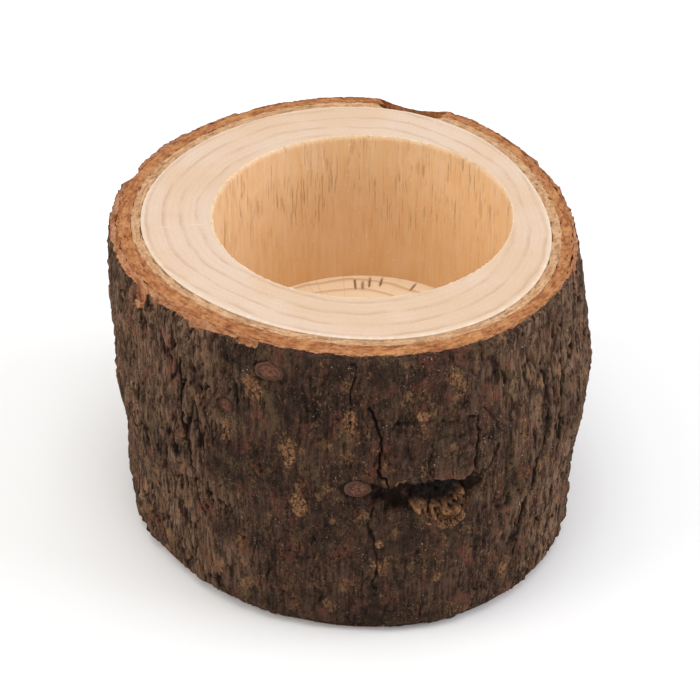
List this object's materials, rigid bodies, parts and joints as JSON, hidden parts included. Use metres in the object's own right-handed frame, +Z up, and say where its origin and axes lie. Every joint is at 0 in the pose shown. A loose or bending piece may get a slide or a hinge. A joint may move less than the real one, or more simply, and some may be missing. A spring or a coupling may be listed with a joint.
{
  "type": "log slice candle holder",
  "caption": "Short length of branch with its bark on, sawn flat at both ends and bored from above with a flat-bottomed round cup for a tealight or small candle.",
  "frame": {"origin": "on the axis of the candle bore, at the underside that the log stands on", "axes": "+Z up along the bore, out of its mouth; -Y is the front, the side with the broken-off branch's scar; +X is to the right seen from the front"},
  "size_m": [0.0656, 0.0685, 0.045],
  "materials": {
    "wood": "sawn, unfinished",
    "pith": "soft, dull",
    "inner_bark": "sawn, fibrous",
    "cork": "granular, dull",
    "outer_bark": "weathered bark, rough",
    "knot_wood": "torn, rough",
    "twig_wood": "dull"
  },
  "bodies": {
    "root": {"wood_body": "wood", "pith": "pith", "inner_bark": "inner_bark", "cork_layer": "cork", "outer_bark": "outer_bark", "branch_knot": "knot_wood", "twig_knots": "twig_wood"}
  },
  "joints": []
}
